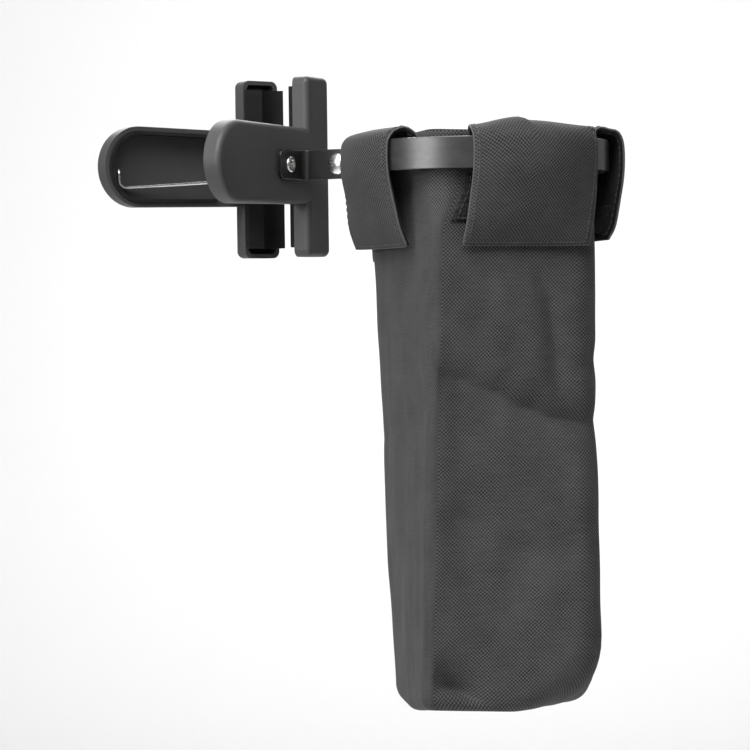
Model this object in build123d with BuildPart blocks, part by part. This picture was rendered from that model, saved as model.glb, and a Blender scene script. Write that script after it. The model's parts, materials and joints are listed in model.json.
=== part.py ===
from build123d import *
import math
import os

# Clamp-on hanging bag, in millimetres. A moulded spring clamp grips an upright stand tube. A bent steel strip
# on its front jaw carries a flat steel hoop, and four flaps hold a square fabric bag in the hoop.
# The origin is on the tube's axis at the clamp's mid-height. +Z is up, +X points out of the front jaw towards
# the bag, and the two handles point along -Y.

os.makedirs("parts", exist_ok=True)

# Clamp
tube_radius = 10.0
rim_x = 13.6  # open rim of the front jaw, from the tube's axis
jaw_depth = 8.5
jaw_wall = 2.0
jaw_edge_radius = 2.6
head_near_y = -13.2
head_far_y = 7.2
head_height = 86.0
head_corner_radius = 3.5
handle_root_height = 36.0
handle_end_radius = 19.0
handle_end_y = -73.6
pad_height = 76.6
pad_core_gap = 0.1
pad_overlap = 0.6
pad_edge_lift = 2.4
pad_crest_x = 8.0
liner_gap = 0.1
liner_thickness = 1.6
liner_lip = 1.0
liner_start_y = -30.0

# Hinge
pin_x = -3.95
pin_y = -19.6
pin_radius = 2.0
pin_clearance = 0.05
pin_head_radius = 3.5
pin_head_height = 1.6
pin_end_gap = 0.1
clip_height = 1.0
clip_radius = 3.8
ear_radius = 5.0
ear_thickness = 3.0
front_ear_low = 12.3
rear_ear_low = 9.0
wire_radius = 0.9
coil_radius = 4.4
coil_half_height = 7.0
coil_margin = 0.3  # the sleeve stands this far outside the wire, so that the legs end inside it
leg_reach = 62.0
leg_rise = 4.5  # the far end of the front leg stands this much higher than its root
leg_hook = 9.0
leg_bend_radius = 2.5

# Arm
strip_thickness = 2.0
strip_height = 14.0
strip_corner_radius = 3.5
strip_bend_radius = 3.0
strip_edge_radius = 0.35
strip_end_y = -42.0
arm_outer_y = -21.0
ring_pivot_x = 42.5
eyelet_y = -33.0
eyelet_barrel_radius = 2.5
eyelet_bore_radius = 1.6
eyelet_flange_radius = 3.7
eyelet_flange_height = 0.9
washer_thickness = 0.8
friction_washer_thickness = 0.4
washer_radius = 5.5
rivet_radius = 2.0
rivet_head_radius = 5.0
rivet_head_height = 2.6
rivet_tail_radius = 3.4
rivet_tail_height = 1.2

# Hoop
ring_x = 113.3
ring_y = -16.5
ring_radius = 60.0
ring_tab_gap = 0.2
ring_bend_radius = 4.0

# Bag
bag_turn = -39.0  # direction of the front flap about +Z, from +X
bag_twist = -11.0  # turn of the bag's lower end against its mouth
bag_top_side = 84.0
bag_low_side = 83.0
bag_top_corner_radius = 11.0
bag_low_corner_radius = 9.0
bag_top_z = 8.0
bag_low_z = -228.0
bag_floor_z = -247.0
bag_lean_x = 4.8  # the bag hangs a little out of line with the hoop
bag_lean_y = 2.65
bag_cloth = 1.5
binding_height = 2.5
binding_extra = 0.5
tape_height = 8.0
tape_thickness = 1.0

# Flaps
flap_width = 61.0
flap_cloth = 1.6
flap_gap = 0.6  # between the flap and the hoop's outer face
fold_gap = 0.3
flap_skirt_z = -8.0
flap_end_z = -41.5
flap_end_reach = 45.2
patch_thickness = 0.8
loop_low_z = -38.0
loop_high_z = -9.0
loop_width = 54.0
hook_low_z = -38.5
hook_high_z = -22.0
hook_width = 50.0

# Worked-out places
outer_x = rim_x + jaw_depth
cavity_x = outer_x - jaw_wall
ring_inner_radius = ring_radius - strip_thickness
arm_inner_y = arm_outer_y + strip_thickness
tab_near_y = ring_y - ring_tab_gap / 2 - strip_thickness
tab_far_y = ring_y + ring_tab_gap / 2 + strip_thickness
tab_end_x = ring_pivot_x - strip_height / 2
flap_inner_radius = ring_radius + flap_gap
flap_outer_radius = flap_inner_radius + flap_cloth
flap_azimuths = {
    "front": bag_turn,
    "right": bag_turn + 90,
    "back": bag_turn + 180,
    "left": bag_turn - 90,
}
# How far each flap is sewn off its wall's middle, anticlockwise seen from above.
flap_shifts = {"front": 4.5, "right": 0.0, "back": 0.0, "left": -4.0}

# The rear half mirrors the front half about the upright plane through the tube's axis and the pin's axis.
hinge_plane = Plane(origin=(0, 0, 0), x_dir=(pin_x, pin_y, 0), z_dir=(-pin_y, pin_x, 0))
jaw_plane = Plane(origin=(rim_x, 0, 0), x_dir=(0, 1, 0), z_dir=(1, 0, 0))


def finish(builder, name):
    """Label a finished piece and write it."""
    builder.part.label = name
    export_step(builder.part, f"parts/{name}.step")


# ------------------------------------------------------------------------------------- clamp halves


def head_outline(inset):
    """Outline of the upright jaw head, in the jaw's rim plane."""
    with BuildSketch(jaw_plane) as outline:
        with Locations(((head_near_y + head_far_y) / 2, 0)):
            RectangleRounded(
                head_far_y - head_near_y - 2 * inset,
                head_height - 2 * inset,
                head_corner_radius - inset / 2,
            )
    return outline.sketch


def handle_outline(inset):
    """Outline of the handle, with its full-round end, in the jaw's rim plane."""
    with BuildSketch(jaw_plane) as outline:
        with BuildLine():
            far = handle_end_radius - inset
            near = handle_root_height / 2 - inset
            Polyline((handle_end_y, far), (head_near_y, near), (head_near_y, -near), (handle_end_y, -far))
            ThreePointArc((handle_end_y, -far), (handle_end_y - far, 0), (handle_end_y, far))
        make_face()
    return outline.sketch


def jaw_shell(ear_low):
    """One moulded half: a T-shaped tray, open towards the tube, with two hinge ears."""
    with BuildPart() as shell:
        extrude(head_outline(0), amount=jaw_depth)
        extrude(handle_outline(0), amount=jaw_depth)
        fillet(shell.faces().sort_by(Axis.X)[-1].edges(), radius=jaw_edge_radius)
        extrude(head_outline(jaw_wall), amount=jaw_depth - jaw_wall, mode=Mode.SUBTRACT)
        extrude(handle_outline(jaw_wall), amount=jaw_depth - jaw_wall, mode=Mode.SUBTRACT)
        for ear_z in (ear_low, -ear_low - ear_thickness):
            with BuildSketch(Plane.XY.offset(ear_z)):
                with Locations(((pin_x + cavity_x) / 2, pin_y)):
                    Rectangle(cavity_x - pin_x, 2 * ear_radius)
                with Locations((pin_x, pin_y)):
                    Circle(ear_radius)
                    Circle(pin_radius + pin_clearance, mode=Mode.SUBTRACT)
            extrude(amount=ear_thickness)
    return shell.part


def jaw_pad():
    """Rubber pad: a core that fills the head's tray and a lip over its rim, with a seat for the tube."""
    crest_y = math.sqrt(tube_radius**2 - pad_crest_x**2)
    lip_near_y = head_near_y + pad_overlap
    lip_far_y = head_far_y - pad_overlap
    core_inset = jaw_wall + pad_core_gap
    with BuildPart() as pad:
        with BuildSketch(Plane.XY):
            with BuildLine():
                Polyline((pad_crest_x, crest_y), (pad_crest_x, lip_far_y), (rim_x, lip_far_y))
                Polyline((rim_x, lip_far_y), (rim_x, lip_near_y), (rim_x - pad_edge_lift, lip_near_y))
                Line((rim_x - pad_edge_lift, lip_near_y), (pad_crest_x, -crest_y))
                ThreePointArc((pad_crest_x, -crest_y), (tube_radius, 0), (pad_crest_x, crest_y))
            make_face()
        extrude(amount=pad_height / 2, both=True)
        with BuildSketch(jaw_plane):
            with Locations(((head_near_y + head_far_y) / 2, 0)):
                Rectangle(head_far_y - head_near_y - 2 * core_inset, pad_height)
        extrude(amount=jaw_depth - jaw_wall)
    return pad.part


def handle_liner():
    """Thin liner inside the handle, with a lip that stands a little out of the rim."""
    inset = jaw_wall + liner_gap
    with BuildPart() as liner:
        extrude(handle_outline(inset), amount=jaw_depth - jaw_wall)
        extrude(handle_outline(inset), amount=-liner_lip)
        inner = handle_outline(inset + liner_thickness)
        extrude(inner, amount=jaw_depth - jaw_wall, mode=Mode.SUBTRACT)
        extrude(inner, amount=-liner_lip, mode=Mode.SUBTRACT)
        split(bisect_by=Plane.XZ.offset(-liner_start_y), keep=Keep.TOP)
    return liner.part


with BuildPart() as front_jaw_shell:
    add(jaw_shell(front_ear_low))
    with Locations(Plane(origin=(outer_x, eyelet_y, 0), z_dir=(1, 0, 0))):
        Hole(eyelet_barrel_radius + pin_clearance, depth=jaw_wall + 1)
finish(front_jaw_shell, "front_jaw_shell")

with BuildPart() as rear_jaw_shell:
    mirror(jaw_shell(rear_ear_low), about=hinge_plane)
finish(rear_jaw_shell, "rear_jaw_shell")

with BuildPart() as front_jaw_pad:
    add(jaw_pad())
finish(front_jaw_pad, "front_jaw_pad")

with BuildPart() as rear_jaw_pad:
    mirror(jaw_pad(), about=hinge_plane)
finish(rear_jaw_pad, "rear_jaw_pad")

with BuildPart() as front_handle_liner:
    add(handle_liner())
finish(front_handle_liner, "front_handle_liner")

with BuildPart() as rear_handle_liner:
    mirror(handle_liner(), about=hinge_plane)
finish(rear_handle_liner, "rear_handle_liner")

# -------------------------------------------------------------------------------------------- hinge

ear_top = front_ear_low + ear_thickness
pin_top = ear_top + pin_end_gap
pin_bottom = -ear_top - pin_end_gap - clip_height - pin_end_gap

with BuildPart() as hinge_pin:
    with BuildSketch(Plane.XY.offset(pin_bottom)):
        with Locations((pin_x, pin_y)):
            Circle(pin_radius)
    extrude(amount=pin_top - pin_bottom)
    with BuildSketch(Plane.XY.offset(pin_top)):
        with Locations((pin_x, pin_y)):
            Circle(pin_head_radius)
    extrude(amount=pin_head_height)
    chamfer(hinge_pin.faces().sort_by(Axis.Z)[-1].edges(), length=0.6)
finish(hinge_pin, "hinge_pin")

with BuildPart() as hinge_pin_clip:
    with BuildSketch(Plane.XY.offset(-ear_top - pin_end_gap - clip_height)):
        with Locations((pin_x, pin_y)):
            Circle(clip_radius)
            Circle(pin_radius, mode=Mode.SUBTRACT)
    extrude(amount=clip_height)
finish(hinge_pin_clip, "hinge_pin_clip")


def spring_leg():
    """The front leg: from the coil's upper end into the front handle, with its end bent down."""
    leg_z = coil_half_height - wire_radius - 2 * coil_margin
    start = (pin_x + coil_radius, pin_y, leg_z)
    end = (cavity_x - wire_radius, pin_y - leg_reach, leg_z + leg_rise)
    hook = (cavity_x - wire_radius, pin_y - leg_reach, leg_z + leg_rise - leg_hook)
    along = Vector(*end) - Vector(*start)
    with BuildPart() as leg:
        with BuildLine() as route:
            FilletPolyline(start, end, hook, radius=leg_bend_radius)
        with BuildSketch(Plane(origin=start, z_dir=along)):
            Circle(wire_radius)
        sweep(path=route.line)
    return leg.part


# The coil is one sleeve round the pin; the rear leg mirrors the front one and leaves low.
with BuildPart() as torsion_spring:
    with BuildSketch(Plane.XY):
        with Locations((pin_x, pin_y)):
            Circle(coil_radius + wire_radius + coil_margin)
            Circle(coil_radius - wire_radius - coil_margin, mode=Mode.SUBTRACT)
    extrude(amount=coil_half_height, both=True)
    add(spring_leg())
    mirror(mirror(spring_leg(), about=hinge_plane, mode=Mode.PRIVATE), about=Plane.XY)
finish(torsion_spring, "torsion_spring")

# ---------------------------------------------------------------------------------------------- arm

pivot_plane = Plane(origin=(ring_pivot_x, 0, 0), x_dir=(1, 0, 0), z_dir=(0, -1, 0))
eyelet_plane = Plane(origin=(0, eyelet_y, 0), x_dir=(0, 1, 0), z_dir=(1, 0, 0))

with BuildPart() as bracket:
    with BuildSketch(Plane.XY):
        with Locations((outer_x + strip_thickness / 2, (strip_end_y + arm_inner_y) / 2)):
            Rectangle(strip_thickness, arm_inner_y - strip_end_y)
        with Locations(((outer_x + ring_pivot_x + strip_height / 2) / 2, arm_outer_y + strip_thickness / 2)):
            Rectangle(ring_pivot_x + strip_height / 2 - outer_x, strip_thickness)
    extrude(amount=strip_height / 2, both=True)
    upright = bracket.edges().filter_by(Axis.Z)
    fillet(upright.sort_by_distance((outer_x, arm_inner_y, 0))[0], radius=strip_bend_radius + strip_thickness)
    inner_corner = (outer_x + strip_thickness, arm_outer_y, 0)
    fillet(bracket.edges().filter_by(Axis.Z).sort_by_distance(inner_corner)[0], radius=strip_bend_radius)
    fillet(bracket.faces().sort_by(Axis.Y)[0].edges().filter_by(Axis.X), radius=strip_corner_radius)
    fillet(bracket.faces().sort_by(Axis.X)[-1].edges().filter_by(Axis.Y), radius=strip_height / 2 - 0.1)
    fillet(bracket.edges(), radius=strip_edge_radius)
    with BuildSketch(eyelet_plane.offset(outer_x)):
        Circle(eyelet_barrel_radius + pin_clearance)
    extrude(amount=strip_thickness, mode=Mode.SUBTRACT)
    with BuildSketch(pivot_plane.offset(-arm_outer_y)):
        Circle(rivet_radius)
    extrude(amount=-strip_thickness, mode=Mode.SUBTRACT)
finish(bracket, "bracket")

# The eyelet's barrel runs from the strip's outer face through the shell's wall, flared at both ends.
eyelet_outer_x = outer_x + strip_thickness
eyelet_inner_x = cavity_x - washer_thickness
with BuildPart() as bracket_eyelet:
    with BuildSketch(eyelet_plane.offset(eyelet_inner_x - eyelet_flange_height)):
        Circle(eyelet_barrel_radius)
    extrude(amount=eyelet_outer_x - eyelet_inner_x + 2 * eyelet_flange_height)
    for flange_x in (eyelet_inner_x - eyelet_flange_height, eyelet_outer_x):
        with BuildSketch(eyelet_plane.offset(flange_x)):
            Circle(eyelet_flange_radius)
        extrude(amount=eyelet_flange_height)
    fillet(bracket_eyelet.faces().sort_by(Axis.X)[-1].edges(), radius=0.8)
    with BuildSketch(eyelet_plane):
        Circle(eyelet_bore_radius)
    extrude(amount=2 * outer_x, mode=Mode.SUBTRACT)
    bore_mouth = bracket_eyelet.faces().sort_by(Axis.X)[-1].edges()
    chamfer(bore_mouth.sort_by(SortBy.RADIUS)[0], length=0.5)
finish(bracket_eyelet, "bracket_eyelet")

with BuildPart() as eyelet_washer:
    with BuildSketch(eyelet_plane.offset(eyelet_inner_x)):
        Circle(washer_radius)
        Circle(eyelet_barrel_radius, mode=Mode.SUBTRACT)
    extrude(amount=washer_thickness)
finish(eyelet_washer, "eyelet_washer")

rivet_tail_y = tab_far_y + washer_thickness
with BuildPart() as ring_rivet:
    with BuildSketch(pivot_plane.offset(-rivet_tail_y)):
        Circle(rivet_radius)
    extrude(amount=rivet_tail_y - arm_outer_y)
    with BuildSketch(pivot_plane.offset(-rivet_tail_y - rivet_tail_height)):
        Circle(rivet_tail_radius)
    extrude(amount=rivet_tail_height)
    with BuildSketch(Plane(origin=(ring_pivot_x, arm_outer_y, 0), x_dir=(1, 0, 0), z_dir=(0, 0, 1))):
        with BuildLine():
            Line((0, 0), (rivet_head_radius, 0))
            dome_mid = (rivet_head_radius * math.sin(math.pi / 4), -rivet_head_height * math.cos(math.pi / 4))
            Spline((rivet_head_radius, 0), dome_mid, (0, -rivet_head_height), tangents=[(0, -1), (-1, 0)])
            Line((0, -rivet_head_height), (0, 0))
        make_face()
    revolve(axis=Axis((ring_pivot_x, 0, 0), (0, 1, 0)))
finish(ring_rivet, "ring_rivet")

with BuildPart() as ring_rivet_washer:
    with BuildSketch(pivot_plane.offset(-rivet_tail_y)):
        Circle(washer_radius)
        Circle(rivet_radius, mode=Mode.SUBTRACT)
    extrude(amount=washer_thickness)
finish(ring_rivet_washer, "ring_rivet_washer")

with BuildPart() as friction_washer:
    with BuildSketch(pivot_plane.offset(-arm_inner_y - friction_washer_thickness)):
        Circle(washer_radius)
        Circle(rivet_radius, mode=Mode.SUBTRACT)
    extrude(amount=friction_washer_thickness)
finish(friction_washer, "friction_washer")

# --------------------------------------------------------------------------------------------- hoop

with BuildPart() as ring_band:
    with BuildSketch(Plane.XY):
        with Locations((ring_x, ring_y)):
            Circle(ring_radius)
        tab_length = ring_x - ring_radius + strip_thickness / 2 - tab_end_x
        with Locations((tab_end_x + tab_length / 2, ring_y)):
            Rectangle(tab_length, tab_far_y - tab_near_y)
        with Locations((ring_x, ring_y)):
            Circle(ring_inner_radius, mode=Mode.SUBTRACT)
        with Locations((tab_end_x + tab_length / 2, ring_y)):
            Rectangle(tab_length + 4 * strip_thickness, ring_tab_gap, mode=Mode.SUBTRACT)
    extrude(amount=strip_height / 2, both=True)
    for side_y in (tab_near_y, tab_far_y):
        root = (ring_x - ring_radius, side_y, 0)
        fillet(ring_band.edges().filter_by(Axis.Z).sort_by_distance(root)[0], radius=ring_bend_radius)
    tab_tips = ring_band.edges().filter_by(Axis.Y).group_by(Axis.X)[0]
    fillet(tab_tips, radius=strip_height / 2 - 0.1)
    hoop_edges = ring_band.edges().filter_by(GeomType.CIRCLE).group_by(SortBy.RADIUS)[-1]
    fillet(hoop_edges, radius=strip_edge_radius)
    with BuildSketch(pivot_plane.offset(-tab_near_y)):
        Circle(rivet_radius + pin_clearance)
    extrude(amount=tab_near_y - tab_far_y, mode=Mode.SUBTRACT)
finish(ring_band, "ring_band")

# ---------------------------------------------------------------------------------------------- bag


def bag_plane(height):
    """Level plane of the bag at a height, its x axis square to the front wall, after its lean and twist."""
    lean = (bag_top_z - height) / (bag_top_z - bag_low_z)
    turn = math.radians(bag_turn + lean * bag_twist)
    centre = (ring_x + lean * bag_lean_x, ring_y + lean * bag_lean_y, height)
    return Plane(origin=centre, x_dir=(math.cos(turn), math.sin(turn), 0), z_dir=(0, 0, 1))


def bag_form(grow):
    """The bag's four walls as one leaning, slightly twisted block, grown outwards."""
    ends = (
        (bag_top_z, bag_top_side, bag_top_corner_radius),
        (bag_low_z, bag_low_side, bag_low_corner_radius),
    )
    with BuildPart() as form:
        for height, side, corner in ends:
            with BuildSketch(bag_plane(height)):
                RectangleRounded(side + 2 * grow, side + 2 * grow, corner + grow)
        loft()
    return form.part


def bottom_form(inset):
    """The closed bottom as a block with a round lower edge, shrunk inwards."""
    side = bag_low_side - 2 * inset
    with BuildPart() as form:
        with BuildSketch(bag_plane(bag_low_z)):
            RectangleRounded(side, side, bag_low_corner_radius - inset)
        extrude(amount=bag_floor_z + inset - bag_low_z)
        fillet(form.faces().sort_by(Axis.Z)[0].edges(), radius=bag_low_corner_radius - inset - 0.2)
    return form.part


with BuildPart() as bag_wall:
    add(bag_form(0))
    add(bag_form(-bag_cloth), mode=Mode.SUBTRACT)
finish(bag_wall, "bag_wall")

with BuildPart() as bag_bottom:
    add(bottom_form(0))
    add(bottom_form(bag_cloth), mode=Mode.SUBTRACT)
finish(bag_bottom, "bag_bottom")

with BuildPart() as bag_rim_binding:
    with BuildSketch(bag_plane(bag_top_z)):
        wide = bag_top_side + 2 * binding_extra
        narrow = bag_top_side - 2 * bag_cloth - 2 * binding_extra
        RectangleRounded(wide, wide, bag_top_corner_radius + binding_extra)
        narrow_corner = bag_top_corner_radius - bag_cloth - binding_extra
        RectangleRounded(narrow, narrow, narrow_corner, mode=Mode.SUBTRACT)
    extrude(amount=binding_height)
finish(bag_rim_binding, "bag_rim_binding")

with BuildPart() as bottom_seam_tape:
    add(bag_form(-bag_cloth))
    add(bag_form(-bag_cloth - tape_thickness), mode=Mode.SUBTRACT)
    split(bisect_by=Plane.XY.offset(bag_low_z + tape_height), keep=Keep.BOTTOM)
finish(bottom_seam_tape, "bottom_seam_tape")

# -------------------------------------------------------------------------------------------- flaps


def flap_plane(azimuth, height):
    """Level plane at the hoop's centre, its x axis out through the middle of the flap."""
    turn = math.radians(azimuth)
    return Plane(origin=(ring_x, ring_y, height), x_dir=(math.cos(turn), math.sin(turn), 0), z_dir=(0, 0, 1))


def curved_strip(plane, inner_radius, outer_radius, shift):
    """Section of a flap where it follows the hoop: a ring sector with straight, parallel ends."""
    with BuildSketch(plane) as section:
        Circle(outer_radius)
        Circle(inner_radius, mode=Mode.SUBTRACT)
        with Locations((outer_radius, shift)):
            Rectangle(outer_radius, flap_width, mode=Mode.INTERSECT)
    return section.sketch


def flap_skirt(azimuth, shift, inner, outer):
    """The flap below the hoop: it goes from the hoop's curve to a flat lower hem near the bag's wall.
    inner and outer are the distances of its two faces outwards from the flap's own inner face."""
    end_centre = flap_end_reach + (inner + outer) / 2
    with BuildPart() as skirt:
        upper = curved_strip(
            flap_plane(azimuth, flap_skirt_z), flap_inner_radius + inner, flap_inner_radius + outer, shift
        )
        with BuildSketch(flap_plane(azimuth, flap_end_z)) as lower:
            with Locations((end_centre, shift)):
                Rectangle(outer - inner, flap_width)
        loft([upper.face(), lower.sketch.face()], ruled=True)
    return skirt.part


for flap_name, azimuth in flap_azimuths.items():
    shift = flap_shifts[flap_name]
    root_start = bag_top_side / 2 + binding_extra
    with BuildPart() as flap_root:
        with BuildSketch(flap_plane(azimuth, strip_height / 2 + fold_gap)):
            Circle(flap_outer_radius)
            with Locations((root_start + flap_outer_radius / 2, shift)):
                Rectangle(flap_outer_radius, flap_width, mode=Mode.INTERSECT)
        extrude(amount=flap_cloth)
    finish(flap_root, f"{flap_name}_flap_root")

    with BuildPart() as flap_panel:
        rise = strip_height / 2 - flap_skirt_z
        upper = curved_strip(flap_plane(azimuth, flap_skirt_z), flap_inner_radius, flap_outer_radius, shift)
        extrude(upper, amount=rise)
        add(flap_skirt(azimuth, shift, 0, flap_cloth))
    finish(flap_panel, f"{flap_name}_flap_panel")

    with BuildPart() as hook_patch:
        add(flap_skirt(azimuth, shift, -patch_thickness, 0))
        with BuildSketch(flap_plane(azimuth, hook_low_z)):
            with Locations((ring_radius, shift)):
                Rectangle(ring_radius, hook_width)
        extrude(amount=hook_high_z - hook_low_z, mode=Mode.INTERSECT)
    finish(hook_patch, f"{flap_name}_hook_patch")

    with BuildPart() as loop_patch:
        add(bag_form(patch_thickness))
        add(bag_form(0), mode=Mode.SUBTRACT)
        with BuildSketch(flap_plane(azimuth, loop_low_z)):
            with Locations((ring_radius, 0)):
                Rectangle(ring_radius, loop_width)
        extrude(amount=loop_high_z - loop_low_z, mode=Mode.INTERSECT)
    finish(loop_patch, f"{flap_name}_loop_patch")
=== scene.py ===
import json
import math
import bmesh
import bpy
from mathutils import Matrix, Vector, noise


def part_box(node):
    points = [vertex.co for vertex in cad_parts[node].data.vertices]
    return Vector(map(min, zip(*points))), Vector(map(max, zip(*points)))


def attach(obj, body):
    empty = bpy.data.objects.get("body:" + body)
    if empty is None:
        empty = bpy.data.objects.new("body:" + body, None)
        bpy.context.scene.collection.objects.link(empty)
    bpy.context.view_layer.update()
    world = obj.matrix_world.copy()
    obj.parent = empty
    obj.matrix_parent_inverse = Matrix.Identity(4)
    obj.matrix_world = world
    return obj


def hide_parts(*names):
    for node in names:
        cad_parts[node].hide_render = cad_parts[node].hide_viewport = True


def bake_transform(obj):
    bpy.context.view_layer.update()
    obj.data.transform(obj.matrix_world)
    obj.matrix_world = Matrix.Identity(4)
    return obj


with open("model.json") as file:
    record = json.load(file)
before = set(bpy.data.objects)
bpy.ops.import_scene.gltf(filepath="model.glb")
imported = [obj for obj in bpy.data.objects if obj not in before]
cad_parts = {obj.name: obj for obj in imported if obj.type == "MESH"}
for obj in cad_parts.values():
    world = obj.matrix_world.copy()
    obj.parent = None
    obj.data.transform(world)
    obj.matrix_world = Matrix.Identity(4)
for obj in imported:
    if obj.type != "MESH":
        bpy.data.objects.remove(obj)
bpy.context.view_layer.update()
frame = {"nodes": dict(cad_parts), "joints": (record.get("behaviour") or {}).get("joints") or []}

MM = 0.001
nodes = frame["nodes"]
joints = {j["name"]: j for j in frame["joints"]}

# ----------------------------------------------------------------------- sizes read from the frame
hoop_low, hoop_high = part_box("ring_band")
hoop_radius = (hoop_high.y - hoop_low.y) / 2
hoop_centre = Vector((hoop_high.x - hoop_radius, (hoop_low.y + hoop_high.y) / 2, 0))
hoop_half = (hoop_high.z - hoop_low.z) / 2
mouth_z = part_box("bag_rim_binding")[0].z
rim_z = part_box("bag_rim_binding")[1].z
wall_low_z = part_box("bag_wall")[0].z
floor_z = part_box("bag_bottom")[0].z
flap_end_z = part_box("front_flap_panel")[0].z
pin_low, pin_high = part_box("hinge_pin")
pin_centre = (pin_low + pin_high) / 2
upward = Vector((0, 0, 1))


def flap_azimuth(name):
    """Direction of a flap about +Z: its hinge's axis turned a quarter."""
    axis = joints[f"{name}_flap_lift"]["axis"]
    return math.atan2(axis[0], -axis[1])


flap_names = ("front", "right", "back", "left")
bag_turn = flap_azimuth("front")

# ------------------------------------------------------------------------------ the bag's own sizes
mouth_turn = math.radians(4)  # of the bag's mouth, past the flaps
bag_twist = math.radians(-15)  # from the mouth to the foot of the walls
bag_top_side = 84 * MM
bag_low_side = 83 * MM
bag_top_corner = 11 * MM
bag_low_corner = 9 * MM
crease_radius = 3.5 * MM  # of the corner before wall 0, under the hoop
corner_softness = (1.5, 1.0, 2.0)  # of the other corners, after walls 0, 1 and 2
front_shift = (crease_radius - bag_low_corner * corner_softness[0]) / 2  # of wall 0's flat stretch
fold_radius = 0.7 * MM  # at the bottom of a fold line
bag_lean = Vector((4.8, 2.65, 0)) * MM
bag_cloth = 0.9 * MM
foot_round = 6 * MM
soft_foot_round = 31 * MM  # at the corner after wall 0
bottom_sag = 1.8 * MM
left_sag = 2.2 * MM  # more under wall 3
foot_tilt = 2.0 * MM  # the corner before wall 0 is drawn up and the next one hangs lower
hem_thickness = 0.5 * MM
seam_tape_thickness = 0.5 * MM
flap_width = 61 * MM
hem_reach = 45.6 * MM  # of a flap's hem from the bag's axis
flap_shifts = {"front": 4.5 * MM, "right": 0, "back": 0, "left": -4 * MM}
outer_ply = 0.8 * MM
inner_ply = 0.6 * MM
ply_step = 1.2 * MM  # between the middles of a flap's two plies
tape_thickness = 0.8 * MM
hook_tape_low_z, hook_tape_high_z = -38 * MM, -22 * MM
loop_tape_rise = 8 * MM  # of a loop tape's lower edge above its patch's


def in_mm(stops):
    return [(a * MM, b * MM) for a, b in stops]


def evenly(start, end, steps):
    return [start + (end - start) * i / steps for i in range(steps + 1)]


def smoothstep(a, b, x):
    t = min(max((x - a) / (b - a), 0), 1)
    return t * t * (3 - 2 * t)


def bell(x, centre, width):
    return math.exp(-(((x - centre) / width) ** 2))


def along_stops(stops, x):
    """Height of a smooth line through stops, each (x, height)."""
    for (ax, ay), (bx, by) in zip(stops, stops[1:]):
        if x <= bx:
            return ay + (by - ay) * smoothstep(ax, bx, x)
    return stops[-1][1]


# ---------------------------------------------------------------------------------------- materials


class Look:
    """A Principled material with short calls for its procedural nodes."""

    def __init__(self, name, **sockets):
        self.material = bpy.data.materials.new(name)
        self.material.use_nodes = True
        self.tree = self.material.node_tree
        self.shader = self.tree.nodes["Principled BSDF"]
        self.height = None
        for socket, value in sockets.items():
            self.shader.inputs[socket.replace("_", " ")].default_value = value

    def node(self, kind, **inputs):
        made = self.tree.nodes.new(kind)
        for socket, value in inputs.items():
            self.feed(made.inputs[socket.replace("_", " ")], value)
        return made

    def feed(self, socket, value):
        if isinstance(value, bpy.types.NodeSocket):
            self.tree.links.new(value, socket)
        else:
            socket.default_value = value

    def math(self, operation, *values):
        made = self.tree.nodes.new("ShaderNodeMath")
        made.operation = operation
        for socket, value in zip(made.inputs, values):
            self.feed(socket, value)
        return made.outputs[0]

    def place(self, kind="Object", scale=(1, 1, 1)):
        """Coordinates in metres, times scale."""
        source = self.tree.nodes.new("ShaderNodeTexCoord").outputs[kind]
        mapping = self.node("ShaderNodeMapping", Vector=source, Scale=scale)
        return mapping.outputs[0]

    def noise(self, where, detail=2.0, roughness=0.5):
        made = self.node("ShaderNodeTexNoise", Vector=where, Scale=1.0, Detail=detail, Roughness=roughness)
        return made.outputs[0]

    def ramp(self, value, low, high, dark, light):
        """Blend from dark to light as value goes from low to high."""
        made = self.node("ShaderNodeValToRGB", Fac=value)
        made.color_ramp.elements[0].position = low
        made.color_ramp.elements[1].position = high
        made.color_ramp.elements[0].color = (*dark, 1)
        made.color_ramp.elements[1].color = (*light, 1)
        return made.outputs[0]

    def bump(self, height, distance, strength=1.0):
        made = self.node("ShaderNodeBump", Height=height, Distance=distance, Strength=strength)
        if self.height:
            self.tree.links.new(self.height, made.inputs["Normal"])
        self.height = made.outputs[0]
        self.tree.links.new(self.height, self.shader.inputs["Normal"])

    def spread(self, value, low, high):
        """Map value from 0..1 to low..high."""
        return self.node("ShaderNodeMapRange", Value=value, To_Min=low, To_Max=high).outputs[0]

    def finish(self, colour, roughness):
        """Link the surface's colour and roughness, and give the material."""
        self.feed(self.shader.inputs["Base Color"], colour)
        self.feed(self.shader.inputs["Roughness"], roughness)
        return self.material


def grey(value, warm=0.0):
    """A grey, or with warm a little more red and less blue."""
    return (value * (1 + warm), value, value * (1 - warm))


def moulded_plastic(name, level, roughness):
    """Fine matt moulded texture with faint handling marks."""
    look = Look(name, Specular_IOR_Level=0.32)
    grain = look.noise(look.place(scale=(2600, 2600, 2600)), detail=1)
    patch = look.noise(look.place(scale=(35, 35, 35)), detail=3)
    look.bump(grain, 0.08 * MM, 0.7)
    handling = look.spread(patch, -0.05, 0.05)
    rough = look.math("ADD", handling, look.spread(grain, roughness - 0.06, roughness + 0.06))
    return look.finish(look.ramp(patch, 0.3, 0.75, grey(level * 0.85), grey(level * 1.15)), rough)


def rubber(name, level):
    """Matt rubber with a little dust."""
    look = Look(name, Specular_IOR_Level=0.15)
    grain = look.noise(look.place(scale=(1500, 1500, 1500)), detail=3)
    dust = look.noise(look.place(scale=(60, 60, 160)), detail=4)
    look.bump(grain, 0.08 * MM, 0.6)
    colour = look.ramp(dust, 0.35, 0.8, grey(level * 0.8), grey(level * 1.5))
    return look.finish(colour, look.spread(grain, 0.72, 0.9))


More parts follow.
